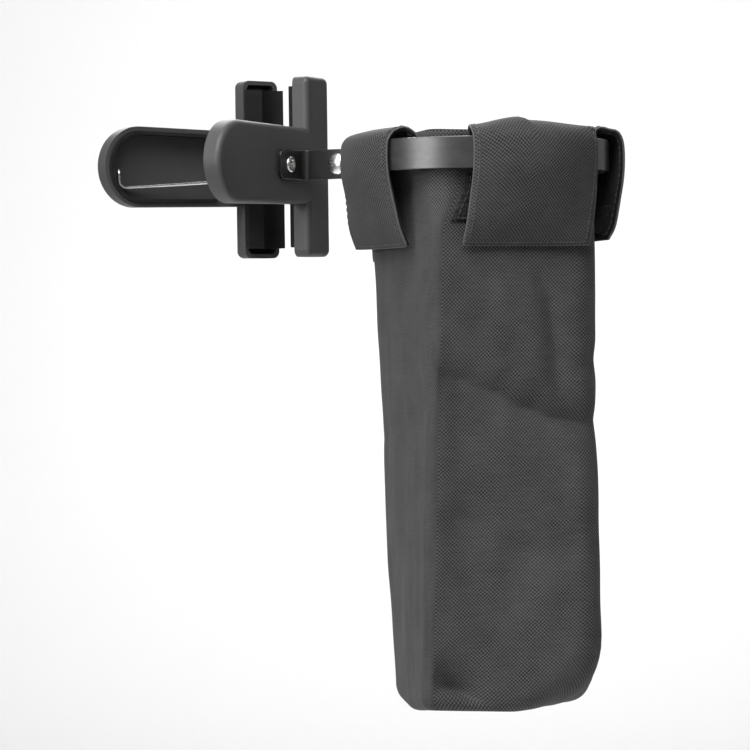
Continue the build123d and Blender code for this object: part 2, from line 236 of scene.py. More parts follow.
def bare_metal(name, level, roughness, stretch=(900, 900, 900)):
    """Plated or drawn metal with fine scratches."""
    look = Look(name, Metallic=1.0)
    scratch = look.noise(look.place(scale=stretch), detail=3, roughness=0.6)
    blotch = look.noise(look.place(scale=(120, 120, 120)), detail=2)
    look.bump(scratch, 0.01 * MM, 0.12)
    colour = look.ramp(blotch, 0.3, 0.8, grey(level * 0.88, 0.01), grey(level, 0.02))
    return look.finish(colour, look.spread(scratch, roughness * 0.7, roughness * 1.4))


def satin_hoop():
    """Dark satin steel: fine rolling lines along the strip, broken by small rubs."""
    look = Look("hoop_satin", Metallic=0.8)
    lines = look.noise(look.place(scale=(60, 60, 5200)), detail=3, roughness=0.7)
    rubs = look.noise(look.place(scale=(90, 90, 240)), detail=5, roughness=0.65)
    look.bump(lines, 0.02 * MM, 0.5)
    return look.finish(look.ramp(rubs, 0.35, 0.85, grey(0.045), grey(0.07)), look.spread(lines, 0.27, 0.38))


def painted_strip():
    """Semi-gloss black finish over steel, with a faint orange peel and rubbed high spots."""
    look = Look("strip_black", Coat_Weight=0.12, Coat_Roughness=0.2)
    peel = look.noise(look.place(scale=(700, 700, 700)), detail=2)
    rubs = look.noise(look.place(scale=(260, 260, 260)), detail=5, roughness=0.7)
    look.bump(peel, 0.03 * MM, 0.5)
    return look.finish(look.ramp(rubs, 0.5, 0.9, grey(0.004), grey(0.014)), look.spread(peel, 0.3, 0.42))


def woven(name, dark, light, pitch, depth):
    """Coarse plain weave (UV in metres): light crossings of one thread set between dark ones of the other,
    which read as a lattice of diagonals, with slubs, uneven threads and loose fibres. The light crossings are
    painted sheen, and the dark ones, which sit lower, painted shade."""
    look = Look(name, Specular_IOR_Level=0.1, Sheen_Weight=0.03, Sheen_Roughness=0.5)
    where = look.node("ShaderNodeSeparateXYZ", Vector=look.place("UV"))
    turns = math.pi / pitch
    wobble = look.spread(look.noise(look.place("UV", (260, 260, 1)), detail=2), -1.1, 1.1)
    across = look.math("SINE", look.math("ADD", look.math("MULTIPLY", where.outputs[0], turns), wobble))
    along = look.math("SINE", look.math("ADD", look.math("MULTIPLY", where.outputs[1], turns), wobble))
    check = look.math("MULTIPLY", across, along)
    crossing = look.math("MULTIPLY_ADD", check, 0.5, 0.5)
    crown = look.math("POWER", look.math("ABSOLUTE", check), 0.6)
    slub = look.noise(look.place("UV", (90, 900, 1)), detail=3, roughness=0.6)
    patch = look.noise(look.place("UV", (45, 45, 1)), detail=4, roughness=0.65)
    fuzz = look.noise(look.place("UV", (3500, 3500, 1)), detail=2)
    height = look.math("ADD", look.math("MULTIPLY", crossing, 0.7), look.math("MULTIPLY", crown, 0.3))
    look.bump(height, depth, 0.9)
    look.bump(fuzz, 0.05 * MM, 0.4)
    uneven = look.math("ADD", look.math("MULTIPLY", slub, 0.22), look.spread(patch, -0.16, 0.16))
    # the crossings' light and dark in this colour are painted sheen and painted shade; the slubs and patches
    # are the cloth's own uneven tone
    shade = look.math("ADD", look.math("MULTIPLY", crossing, 0.78), uneven)
    return look.finish(look.ramp(shade, 0.12, 0.88, grey(dark), grey(light)), look.spread(fuzz, 0.66, 0.88))


def fuzzy(name, dark, light, scale, depth):
    """Hook tape, loop tape or felt: a dense pile of small bumps."""
    look = Look(name, Specular_IOR_Level=0.06, Sheen_Weight=0.03, Sheen_Roughness=0.6)
    where = look.place(scale=(scale, scale, scale))
    cells = look.node("ShaderNodeTexVoronoi", Vector=where, Scale=1.0).outputs[0]
    curl = look.noise(where, detail=5, roughness=0.75)
    pile = look.math("MULTIPLY", cells, curl)
    look.bump(pile, depth, 1.0)
    # colour follows the pile's height, darker where it sits low: painted shade in its hollows
    return look.finish(look.ramp(pile, 0.05, 0.5, grey(dark), grey(light)), look.spread(curl, 0.75, 0.95))


def thread_look(name, dark, light):
    """Twisted sewing thread."""
    look = Look(name, Specular_IOR_Level=0.35, Sheen_Weight=0.15)
    twist = look.noise(look.place(scale=(4000, 4000, 4000)), detail=1)
    look.bump(twist, 0.05 * MM, 0.6)
    # colour follows the twist's height, lighter on its ridges and darker in its grooves: painted shade
    return look.finish(look.ramp(twist, 0.3, 0.7, grey(dark), grey(light)), look.spread(twist, 0.45, 0.7))


shell_look = moulded_plastic("shell_plastic", 0.04, 0.5)
liner_look = moulded_plastic("liner_plastic", 0.008, 0.5)
nylon_look = moulded_plastic("nylon_washer", 0.5, 0.4)
pad_look = rubber("pad_rubber", 0.005)
zinc_look = bare_metal("zinc_steel", 0.55, 0.32)
wire_look = bare_metal("spring_steel", 0.8, 0.22, (2500, 2500, 2500))
nickel_look = bare_metal("bright_nickel", 0.8, 0.26)
hoop_look = satin_hoop()
strip_look = painted_strip()
bag_look = woven("bag_weave", 0.002, 0.068, 0.82 * MM, 0.18 * MM)
flap_look = woven("flap_weave", 0.002, 0.062, 0.82 * MM, 0.18 * MM)
tape_look = woven("tape_weave", 0.003, 0.03, 0.9 * MM, 0.2 * MM)
felt_look = fuzzy("lining_felt", 0.002, 0.008, 1500, 0.15 * MM)
hook_look = fuzzy("hook_pile", 0.003, 0.02, 900, 0.4 * MM)
loop_look = fuzzy("loop_pile", 0.003, 0.022, 700, 0.4 * MM)
thread = thread_look("sewing_thread", 0.012, 0.032)
edge_thread = thread_look("edge_thread", 0.02, 0.06)

kept = {
    "front_jaw_shell": shell_look,
    "rear_jaw_shell": shell_look,
    "front_handle_liner": liner_look,
    "rear_handle_liner": liner_look,
    "front_jaw_pad": pad_look,
    "rear_jaw_pad": pad_look,
    "hinge_pin": zinc_look,
    "hinge_pin_clip": zinc_look,
    "eyelet_washer": zinc_look,
    "ring_rivet_washer": zinc_look,
    "friction_washer": nylon_look,
    "bracket": strip_look,
    "bracket_eyelet": nickel_look,
    "ring_rivet": nickel_look,
    "ring_band": hoop_look,
}
for node_name, look in kept.items():
    nodes[node_name].data.materials.clear()
    nodes[node_name].data.materials.append(look)

# -------------------------------------------------------------------------------------- mesh making


def new_mesh(name, vertices, faces, look, corner_uvs=None):
    mesh = bpy.data.meshes.new(name)
    mesh.from_pydata(vertices, [], faces)
    mesh.materials.append(look)
    if corner_uvs:
        layer = mesh.uv_layers.new(name="UVMap")
        for loop, uv in zip(layer.data, corner_uvs):
            loop.uv = uv
    for face in mesh.polygons:
        face.use_smooth = True
    mesh.validate()
    made = bpy.data.objects.new(name, mesh)
    bpy.context.scene.collection.objects.link(made)
    return made


def sheet_mesh(name, points, uvs, look, closed=False):
    """Quads over a grid of points: rows of equal length. closed joins each row's ends."""
    rows, columns = len(points), len(points[0])
    flat = [p for row in points for p in row]
    faces, corners = [], []
    for i in range(rows - 1):
        for j in range(columns if closed else columns - 1):
            k = (j + 1) % columns
            faces.append((i * columns + j, i * columns + k, (i + 1) * columns + k, (i + 1) * columns + j))
            corners += [uvs[i][j], uvs[i][j + 1], uvs[i + 1][j + 1], uvs[i + 1][j]]
    return new_mesh(name, flat, faces, look, corners)


def thicken(piece, thickness, offset):
    """Give a sheet its thickness. An offset of 0 puts half of it on each side, and -1 all of it behind the
    faces, which look inward where a grid's rows run down the bag."""
    solid = piece.modifiers.new("thickness", "SOLIDIFY")
    solid.thickness = thickness
    solid.offset = offset
    apply_modifiers(piece)


def apply_modifiers(piece):
    graph = bpy.context.evaluated_depsgraph_get()
    solid = piece.evaluated_get(graph)
    made = bpy.data.meshes.new_from_object(solid, preserve_all_data_layers=True, depsgraph=graph)
    old = piece.data
    piece.modifiers.clear()
    piece.data = made
    made.name = old.name
    bpy.data.meshes.remove(old)


def tube_mesh(name, route, radius, look, sides=10):
    """A round wire along a list of points, with closed ends."""
    vertices, faces = [], []
    side = None
    for i, point in enumerate(route):
        before, after = route[max(i - 1, 0)], route[min(i + 1, len(route) - 1)]
        along = (after - before).normalized()
        if side is None:
            side = along.orthogonal().normalized()
        side = (side - along * side.dot(along)).normalized()
        other = along.cross(side)
        for k in range(sides):
            turn = 2 * math.pi * k / sides
            vertices.append(point + (side * math.cos(turn) + other * math.sin(turn)) * radius)
    for i in range(len(route) - 1):
        for k in range(sides):
            n = (k + 1) % sides
            faces.append((i * sides + k, i * sides + n, (i + 1) * sides + n, (i + 1) * sides + k))
    faces.append(tuple(reversed(range(sides))))
    faces.append(tuple(range(len(vertices) - sides, len(vertices))))
    return new_mesh(name, vertices, faces, look)


def stitches(name, lines, look, length=2.2 * MM, gap=0.9 * MM, radius=0.22 * MM):
    """Short raised thread runs along polylines; each line is a list of (point, outward normal). A stitch is
    five rings of six points, at parts of its length and lifts in radii, and its ends dip into the cloth."""
    stations = ((0, -0.3), (0.2, 0.55), (0.5, 0.75), (0.8, 0.55), (1, -0.3))
    vertices, faces = [], []
    for line in lines:
        travelled, start = 0.0, 0.0
        lengths = [0.0]
        for (a, _), (b, _) in zip(line, line[1:]):
            travelled += (b - a).length
            lengths.append(travelled)
        while start + length < travelled:
            run = [at_length(line, lengths, start + length * part) for part, _ in stations]
            along = (run[-1][0] - run[0][0]).normalized()
            first = len(vertices)
            for (point, normal), (_, height) in zip(run, stations):
                side = along.cross(normal).normalized()
                centre = point + normal * radius * height
                for turn in range(6):
                    angle = turn * math.pi / 3
                    vertices.append(centre + (side * math.cos(angle) + normal * math.sin(angle)) * radius)
            for ring in range(4):
                for turn in range(6):
                    a, b = first + ring * 6 + turn, first + ring * 6 + (turn + 1) % 6
                    faces.append((a, b, b + 6, a + 6))
            faces.append(tuple(first + turn for turn in reversed(range(6))))
            faces.append(tuple(first + 24 + turn for turn in range(6)))
            start += length + gap
    return new_mesh(name, vertices, faces, look)


def at_length(line, lengths, wanted):
    """The point and normal at a distance along a polyline."""
    for i in range(len(line) - 1):
        if lengths[i + 1] >= wanted:
            part = (wanted - lengths[i]) / max(lengths[i + 1] - lengths[i], 1e-9)
            (a, na), (b, nb) = line[i], line[i + 1]
            return a.lerp(b, part), na.lerp(nb, part).normalized()
    return line[-1]


# ---------------------------------------------------------------------------------------------- bag
STRAIGHT = 26  # columns across one wall
ROUND = 8  # columns round one corner
PER_SIDE = STRAIGHT + ROUND
COLUMNS = 4 * PER_SIDE
WALL_ROWS, ROUND_ROWS, BOTTOM_ROWS = 150, 10, 12
FLAT = 0.8  # of each count of 1 round the bag; the corner after the wall takes the rest


def bag_column(j, side, corners):
    """Point and outward normal of a rounded square in the bag's own axes, and the distance round it, counted
    in walls: 0.4 is the middle of wall 0 and 0.9 the corner after it. Wall 0 faces the front flap's way, the
    others follow as in flap_names, and corners are the radii after each wall."""
    wall, step = divmod(j, PER_SIDE)
    half, before, after = side / 2, corners[wall - 1], corners[wall]
    if step < STRAIGHT:
        part = step / STRAIGHT
        place = Vector((half, before - half + (side - before - after) * part, 0))
        normal = Vector((1, 0, 0))
        count = wall + FLAT * part
    else:
        part = (step - STRAIGHT) / ROUND
        turn = part * math.pi / 2
        normal = Vector((math.cos(turn), math.sin(turn), 0))
        place = Vector((half - after, half - after, 0)) + normal * after
        count = wall + FLAT + (1 - FLAT) * part
    spin = Matrix.Rotation(wall * math.pi / 2, 3, "Z")
    return spin @ place, spin @ normal, count


def bag_run(count):
    """Length of cloth round the bag up to a count of walls."""
    straight = bag_top_side - 2 * bag_top_corner
    arc = bag_top_corner * math.pi / 2
    walls, rest = divmod(count, 1)
    inside = straight * min(rest / FLAT, 1) + arc * max(rest - FLAT, 0) / (1 - FLAT)
    return walls * (straight + arc) + inside


bag_round = bag_run(4)


def around(count, centre):
    """Signed distance between two places round the bag, in walls."""
    return (count - centre + 2) % 4 - 2


def trough(along, across, stops, depth, soft_after, soft_before, fade=9 * MM):
    """A fold line sunk in the cloth. It runs through stops, each (along, across), and its two flanks are as
    wide as soft_before, on the side of smaller across, and soft_after. It fades out past its ends."""
    first, last = stops[0][0], stops[-1][0]
    ends = smoothstep(first - fade, first + fade, along) * smoothstep(last + fade, last - fade, along)
    off = across - along_stops(stops, along)
    width = soft_after if off > 0 else soft_before
    return -depth * ends * math.exp(-math.hypot(off, fold_radius) / width)


def front_folds(t, z):
    """Folds of the front wall, t from its middle towards the right flap."""
    deepening = 0.6 + 0.4 * smoothstep(-30 * MM, 0, t)
    diagonal = [(-36, -96.5), (-27, -98.5), (-11, -104.5), (5, -112), (20, -117), (38, -120)]
    upright = [(-104, 21), (-93, 19.5), (-78, 17), (-64, 15), (-55, 10.5)]
    out = trough(t, z, in_mm(diagonal), 6.8 * MM * deepening, 5.5 * MM, 16 * MM)
    out += trough(z, t, in_mm(upright), 3.2 * MM, 4.5 * MM, 4 * MM, 7 * MM)
    out += trough(t, z, in_mm([(19, -89), (37, -97)]), 2.2 * MM, 4 * MM, 3.5 * MM, 5 * MM)
    out += trough(t, z, in_mm([(-30, -159), (9, -177)]), 3.4 * MM, 10 * MM, 14 * MM)
    out += trough(t, z, in_mm([(-30, -188), (-4, -203)]), 2.6 * MM, 9 * MM, 13 * MM)
    out += 1.1 * MM * bell(t, 8 * MM, 26 * MM) * bell(z, -134 * MM, 17 * MM)
    pinch_z = -235 * MM - 0.35 * (t + 38 * MM)  # a slanting pinch over the foot, near the crease
    pinch = bell(t, -27 * MM, 10 * MM) * smoothstep(-42 * MM, -33 * MM, t)
    out -= 7.5 * MM * pinch * bell(z, pinch_z, 12 * MM if z > pinch_z else 2.6 * MM)
    return out


# Folds of the other walls: a place round the bag, then stops, depth, soft_after and soft_before in mm.
other_folds = [
    (3.4, [(-40, -128), (0, -119), (38, -108)], 0.9, 6, 10),
    (2.35, [(-34, -86), (4, -99), (36, -92)], 1.6, 6, 9),
    (1.4, [(-36, -118), (2, -131), (36, -126)], 1.7, 6, 9),
    (1.5, [(-20, -189), (30, -176)], 1.0, 8, 9),
]


def cloth_shape(count, z):
    """How far the cloth stands out from the plain bag at a place: each wall's bulge, the folds, a dent in the
    corner after wall 0, and uneven cloth."""
    middle = math.cos((count % 1 - 0.4) * math.pi) ** 2 if count % 1 < 0.9 else 0
    below = smoothstep(rim_z - 20 * MM, rim_z - 80 * MM, z)
    above = smoothstep(floor_z, floor_z + 40 * MM, z)
    out = 1.2 * MM * middle * below * above
    out += front_folds(around(count, 0.4) * bag_top_side + front_shift, z)
    corner = around(count, 0.93) * bag_top_side
    out -= 1.0 * MM * bell(corner, 2 * MM, 9 * MM) * bell(z, -92 * MM, 6 * MM)
    for place, stops, depth, soft_after, soft_before in other_folds:
        t = around(count, place) * bag_top_side
        out += trough(t, z, in_mm(stops), depth * MM, soft_after * MM, soft_before * MM)
    turn = count * math.pi / 2
    ripple = noise.noise(Vector((math.cos(turn) * 2.2, math.sin(turn) * 2.2, z * 14)))
    drag = noise.noise(Vector((math.cos(turn) * 9, math.sin(turn) * 9, z * 9 + 2)))
    fine = noise.noise(Vector((math.cos(turn) * 7, math.sin(turn) * 7, z * 45 + 5)))
    return out + (1.2 * MM * ripple + 0.1 * MM * drag + 0.4 * MM * fine) * below


def bag_point(place, z):
    """A place in the bag's own axes, at a height, in the shared frame: the bag leans and twists on its way
    down, and its bottom hangs lower between its corners."""
    part = min(max((mouth_z - z) / (mouth_z - wall_low_z), 0), 1.1)
    spin = Matrix.Rotation(bag_turn + mouth_turn + bag_twist * part, 3, "Z")
    corner = min(abs(place.x * place.y) / (38 * MM) ** 2, 1)
    tilt = -place.x * (bag_low_side / 2 - place.y) / (bag_low_side**2 / 2)
    under_left = bell(place.y, -bag_low_side / 2, 20 * MM) * bell(place.x, 0, 26 * MM)
    sag = bottom_sag * (1 - corner) + foot_tilt * tilt + left_sag * under_left
    sag *= smoothstep(floor_z + 45 * MM, floor_z, z)
    return hoop_centre + bag_lean * part + spin @ place + Vector((0, 0, z - sag))


def wall_size(z):
    """Side and corner radii of the plain bag at a height."""
    part = (mouth_z - z) / (mouth_z - wall_low_z)
    side = bag_top_side + (bag_low_side - bag_top_side) * part
    corner = bag_top_corner + (bag_low_corner - bag_top_corner) * part
    below = smoothstep(-12 * MM, -35 * MM, z)
    crease = corner + (crease_radius - corner) * below
    return side, [corner * (1 + (soft - 1) * below) for soft in corner_softness] + [crease]


def rounding(count):
    """Radius of the bag's foot at a place round it."""
    return foot_round + (soft_foot_round - foot_round) * bell(around(count, 0.9) * bag_low_side, 0, 23 * MM)


def wall_spot(j, z, lift=0.0):
    """A place on the wall's inner face in the bag's own axes, its normal and its distance round. The foot of
    the wall is drawn in towards the middle of the bottom."""
    place, normal, count = bag_column(j, *wall_size(z))
    radius = rounding(count)
    into = min(max(floor_z + radius - z, 0), radius)
    drawn = 0.85 * (radius - math.sqrt(radius**2 - into**2))
    fade = smoothstep(floor_z - 2 * MM, floor_z + 5 * MM, z)
    spot = place + normal * (cloth_shape(count, z) * fade + lift) - place.normalized() * drawn
    return spot, normal, count


def wall_level(row, count):
    """Height of a row of the wall: even steps down to the foot's rounding, then round it."""
    radius = rounding(count)
    top, straight_end = rim_z - 0.6 * MM, floor_z + radius
    if row <= WALL_ROWS:
        return top + (straight_end - top) * row / WALL_ROWS
    return straight_end - radius * math.sin((row - WALL_ROWS) / ROUND_ROWS * math.pi / 2)


def make_bag():
    """The walls and bottom: one grid, drawn together to the middle of the bottom."""
    counts = [bag_column(j, *wall_size(mouth_z))[2] for j in range(COLUMNS)]
    points, uvs = [], []
    for row in range(WALL_ROWS + ROUND_ROWS + 1):
        levels = [wall_level(row, count) for count in counts]
        spots = [wall_spot(j, z)[0] for j, z in enumerate(levels)]
        points.append([bag_point(spot, z) for spot, z in zip(spots, levels)])
        row_uv = [(bag_run(count), z) for count, z in zip(counts, levels)]
        uvs.append(row_uv + [(bag_round, levels[0])])
    for row in range(1, BOTTOM_ROWS + 1):
        size = 1 - row / (BOTTOM_ROWS + 0.4)
        points.append([bag_point(spot * size, floor_z + 0.4 * MM * (1 - size)) for spot in spots])
        row_uv = [(bag_run(count), floor_z - spot.length * (1 - size)) for count, spot in zip(counts, spots)]
        uvs.append(row_uv + [(bag_round, row_uv[0][1])])
    made = sheet_mesh("bag_cloth", points, uvs, bag_look, closed=True)
    close_last_row(made, len(points))
    thicken(made, bag_cloth, -1)
    return made


def close_last_row(piece, rows):
    """Fill the small hole left in the middle of the bottom."""
    work = bmesh.new()
    work.from_mesh(piece.data)
    work.verts.ensure_lookup_table()
    ring = [work.verts[(rows - 1) * COLUMNS + j] for j in range(COLUMNS)]
    face = work.faces.new(reversed(ring))
    face.smooth = True
    work.normal_update()
    work.to_mesh(piece.data)
    work.free()


def wall_grid(heights, columns, lift):
    """Points on the bag's walls, lifted off the cloth's inner face, with outward normals and UVs."""
    points, normals, uvs = [], [], []
    for z in heights:
        row, row_normal, row_uv = [], [], []
        for j in columns:
            spot, normal, count = wall_spot(j % COLUMNS, z, lift)
            row.append(bag_point(spot, z))
            row_normal.append((bag_point(spot + normal * MM, z) - row[-1]).normalized())
            row_uv.append((bag_run(count) + (bag_round if j == COLUMNS else 0), z))
        points.append(row)
        normals.append(row_normal)
        uvs.append(row_uv)
    return points, normals, uvs


bag = make_bag()
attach(bag, "hoop")
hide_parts("bag_wall", "bag_bottom")

# -------------------------------------------------------------------------- hem, seams of the bag


def make_hem():
    """The folded hem: a soft roll of cloth tape over the bag's top edge, from its outer to its inner side."""
    profile = [(1.3, -9.5), (1.25, -6)]  # millimetres out and up
    profile += [(1.25 * math.cos(turn) - 0.1, 1.1 * math.sin(turn)) for turn in evenly(0, math.pi, 14)]
    profile += [(-1.35, -6), (-1.4, -9.5)]
    points, uvs, run = [], [], 0.0
    for k, (out, up) in enumerate(in_mm(profile)):
        if k:
            run += math.hypot(out - profile[k - 1][0] * MM, up - profile[k - 1][1] * MM)
        z = rim_z - 1.2 * MM + up
        row, row_uv = [], []
        for j in range(COLUMNS):
            place, normal, count = bag_column(j, *wall_size(z))
            wave = 0.5 * MM * noise.noise(Vector((place.x * 60, place.y * 60, 3)))
            spot = place + normal * (out - bag_cloth / 2 + cloth_shape(count, z))
            row.append(bag_point(spot, z) + Vector((0, 0, wave)))
            row_uv.append((bag_run(count), run))
        row_uv.append((bag_round, run))
        points.append(row)
        uvs.append(row_uv)
    made = sheet_mesh("rim_hem", points, uvs, tape_look, closed=True)
    thicken(made, hem_thickness, -1)
    return made


hem = make_hem()
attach(hem, "hoop")
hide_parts("bag_rim_binding")

tape_top_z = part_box("bottom_seam_tape")[1].z
tape_columns = range(COLUMNS + 1)
tape_heights = evenly(tape_top_z, wall_low_z, 6)
tape_points, _, tape_uvs = wall_grid(tape_heights, tape_columns, -seam_tape_thickness)
seam_tape = sheet_mesh("seam_tape", [row[:-1] for row in tape_points], tape_uvs, tape_look, closed=True)
thicken(seam_tape, seam_tape_thickness, -1)
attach(seam_tape, "hoop")
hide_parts("bottom_seam_tape")

hem_seam_z = rim_z - 8.5 * MM
hem_seam_lift = 1.15 * MM
seam_points, seam_normals, _ = wall_grid([hem_seam_z], tape_columns, hem_seam_lift)
bag_sewing = stitches("bag_stitching", [list(zip(seam_points[0], seam_normals[0]))], thread)
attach(bag_sewing, "hoop")

# -------------------------------------------------------------------------------------------- flaps
FLAP_ROWS = 52
FLAP_COLUMNS = 30


def curve_between(p, q, r, s, t):
    """A smooth curve's value a part t of the way from q to r, with the values before and after them."""
    bend = (2 * p - 5 * q + 4 * r - s) * t * t
    return 0.5 * (2 * q + (r - p) * t + bend + (3 * q - p - 3 * r + s) * t**3)


def smooth_path(stops, count):
    """Evenly spaced points on a smooth curve through the stops, each (out, up)."""
    fine = []
    padded = [stops[0]] + stops + [stops[-1]]
    for a, b, c, d in zip(padded, padded[1:], padded[2:], padded[3:]):
        for k in range(12):
            t = k / 12
            fine.append(tuple(curve_between(*four, t) for four in zip(a, b, c, d)))
    fine.append(stops[-1])
    lengths = [0.0]
    for (ax, az), (bx, bz) in zip(fine, fine[1:]):
        lengths.append(lengths[-1] + math.hypot(bx - ax, bz - az))
    even, i = [], 0
    for k in range(count):
        wanted = lengths[-1] * k / (count - 1)
        while i < len(lengths) - 2 and lengths[i + 1] < wanted:
            i += 1
        part = (wanted - lengths[i]) / max(lengths[i + 1] - lengths[i], 1e-9)
        even.append(tuple(p + (q - p) * part for p, q in zip(fine[i], fine[i + 1])))
    return even, lengths[-1]


def between(ends, part):
    """A value in metres at a part of the way across, from its values in millimetres at the two ends."""
    first, last = ends
    return (first + (last - first) * smoothstep(0, 1, part)) * MM


class FlapShape:
    """What sets one flap apart, in millimetres. crest is the line of its top, as (across, height) stops,
    hem_out how far its hem's two ends stand off the bag, stand_off how far its first edge keeps clear of the
    hoop's curve, drop how much lower its hem's two ends hang, and skew how far its hem hangs to one side."""

    def __init__(self, crest, hem_out, stand_off=0.0, drop=(0.0, 0.0), skew=0.0):
        self.crest = in_mm(crest)
        self.hem_out = hem_out
        self.stand_off = stand_off * MM
        self.drop = drop
        self.skew = skew * MM


front_crest = [(-31, 11), (-7, 14.6), (-2, 13.2), (31, 11)]
flap_shapes = {
    "front": FlapShape(front_crest, (0.2, 0.9), drop=(-1.3, -1.0), skew=-1.9),
    "right": FlapShape([(-31, 12.2), (0, 12.6), (31, 12)], (5.0, 0.6), stand_off=5.5, drop=(-4.0, -1.0)),
    "back": FlapShape([(-31, 12), (4, 13.6), (31, 12)], (0.8, 6.5), drop=(0.5, 4.5)),
    "left": FlapShape([(-31, 9.8), (0, 11.6), (31, 11.4)], (0.3, 0.8), drop=(-1.2, -1.2)),
}


def flap_stops(shape, shift, across):
    """The lining's line at a distance across the flap: up from the wall, over the hoop, down to its hem."""
    part = across / flap_width + 0.5
    beside = shape.stand_off * max(1 - 2 * part, 0) ** 1.5
    ring = math.sqrt((hoop_radius + 0.55 * MM) ** 2 - (shift + across) ** 2) + beside
    crest = along_stops(shape.crest, across)
    wall = bag_top_side / 2 + bag_cloth
    hem = hem_reach + between(shape.hem_out, part)
    end_z = flap_end_z + 0.4 * MM - between(shape.drop, part)
    return [
        (wall, -4 * MM),
        (wall + 0.2 * MM, 4 * MM),
        (wall + 1.2 * MM, crest - 3.5 * MM),
        (wall + 4.5 * MM, crest - 0.4 * MM),
        (0.5 * (wall + ring) + 2 * MM, crest - 1.4 * MM),
        (ring - 1.8 * MM, hoop_half + 1.6 * MM + 0.25 * beside),
        (ring + 0.3 * MM, hoop_half - 2.5 * MM),
        (ring + 0.2 * MM, -hoop_half),
        (ring * 0.68 + hem * 0.32 + 0.4 * MM, -19 * MM),
        (ring * 0.31 + hem * 0.69 + 0.4 * MM, -31 * MM),
        (hem - 1.0 * MM, end_z),
    ]


def lining_grid(name, shape):
    """Points of the lining, from the wall to the hem, and the flap's length from its seam to its hem."""
    azimuth, shift = flap_azimuth(name), flap_shifts[name]
    across_stops = evenly(-flap_width / 2, flap_width / 2, FLAP_COLUMNS - 1)
    paths = [smooth_path(flap_stops(shape, shift, across), FLAP_ROWS) for across in across_stops]
    points = []
    for i in range(FLAP_ROWS):
        down = i / (FLAP_ROWS - 1)
        loose = smoothstep(0.5, 0.9, down)
        spin = Matrix.Rotation(azimuth + mouth_turn * smoothstep(0.3, 0.08, down), 3, "Z")
        row = []
        for across, (path, _) in zip(across_stops, paths):
            out, up = path[i]
            ripple = noise.noise(Vector((across * 35, down * 3.2, azimuth * 5)))
            out += loose * 0.8 * MM * (ripple + 0.4)
            aside = shift + across + shape.skew * smoothstep(0.4, 1, down)
            row.append(hoop_centre + spin @ Vector((out, aside, up)))
        points.append(row)
    lengths = [length for _, length in paths]
    return points, sum(lengths) / len(lengths)


def grid_normals(points):
    """Outward normal at each point of a flap's grid."""
    last_row, last_column = len(points) - 1, len(points[0]) - 1
    normals = []
    for i in range(last_row + 1):
        row = []
        for j in range(last_column + 1):
            down = points[min(i + 1, last_row)][j] - points[max(i - 1, 0)][j]
            over = points[i][min(j + 1, last_column)] - points[i][max(j - 1, 0)]
            row.append(down.cross(over).normalized())
        normals.append(row)
    return normals


def lifted(points, normals, lift):
    return [[p + n * lift for p, n in zip(row, row_n)] for row, row_n in zip(points, normals)]


def edge_line(points, normals, inset, lift, side=1):
    """Line down one side, across the hem and up the other side, as (point, normal). It starts past the rows
    that are sewn to the wall."""
    first_row = 4
    last_column = FLAP_COLUMNS - 1 - inset
    last_row = FLAP_ROWS - 1 - inset
    path = [(i, inset) for i in range(first_row, last_row)]
    path += [(last_row, j) for j in range(inset, last_column)]
    path += [(i, last_column) for i in range(last_row, first_row - 1, -1)]
    return [(points[i][j] + normals[i][j] * lift * side, normals[i][j] * side) for i, j in path]


def fold_joint(piece, name):
    """Bake a flap piece's placement into its mesh. The hinge is read from the flap's joint but not used, so
    the cloth is not bent."""
    hinge = Vector(joints[f"{name}_flap_lift"]["pos_m"])
    hinge.z = 0
    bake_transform(piece)


def ply(name, look, points, length, thickness):
    """One cloth layer of a flap."""
    across = evenly(-flap_width / 2, flap_width / 2, FLAP_COLUMNS - 1)
    down = evenly(0, length, FLAP_ROWS - 1)
    uvs = [[(x, y) for x in across] for y in down]
    made = sheet_mesh(name, points, uvs, look)
    thicken(made, thickness, 0)
    return made


def make_flap(name):
    """Two plies with a sewn and bound edge. Returns the lining's points and normals."""
    inner, length = lining_grid(name, flap_shapes[name])
    normals = grid_normals(inner)
    outer = lifted(inner, normals, ply_step)
    lining = ply(f"{name}_flap_lining", felt_look, inner, length, inner_ply)
    cloth = ply(f"{name}_flap_cloth", flap_look, outer, length, outer_ply)
    seams = [
        edge_line(outer, normals, 1, outer_ply / 2),
        edge_line(inner, normals, 1, inner_ply / 2, side=-1),
    ]
    sewing = stitches(f"{name}_flap_stitching", seams, thread)
    bound = [point for point, _ in edge_line(outer, normals, 0, -0.1 * MM)]
    edging = tube_mesh(f"{name}_flap_edging", bound, 0.48 * MM, edge_thread, 8)
    for piece in (cloth, lining, sewing, edging):
        fold_joint(piece, name)
    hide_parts(f"{name}_flap_root", f"{name}_flap_panel")
    return inner, normals


def make_hook_tape(name, inner, normals):
    """Hook tape sewn inside a flap, near its hem."""
    middle = FLAP_COLUMNS // 2
    rows = [i for i in range(FLAP_ROWS) if hook_tape_low_z < inner[i][middle].z < hook_tape_high_z]
    columns = slice(3, FLAP_COLUMNS - 3)
    tape_grid = lifted(inner, normals, -(inner_ply + tape_thickness) / 2)
    tape_grid = [tape_grid[i][columns] for i in rows]
    uvs = [[(0.0, 0.0)] * len(row) for row in tape_grid]
    hooks = sheet_mesh(f"{name}_hook_tape", tape_grid, uvs, hook_look)
    thicken(hooks, tape_thickness, 0)
    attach(hooks, f"{name}_flap")
    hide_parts(f"{name}_hook_patch")


loop_tape_ends = {"front": (1, STRAIGHT - 2), "left": (1, 11)}  # columns of the wall; the left tape is short


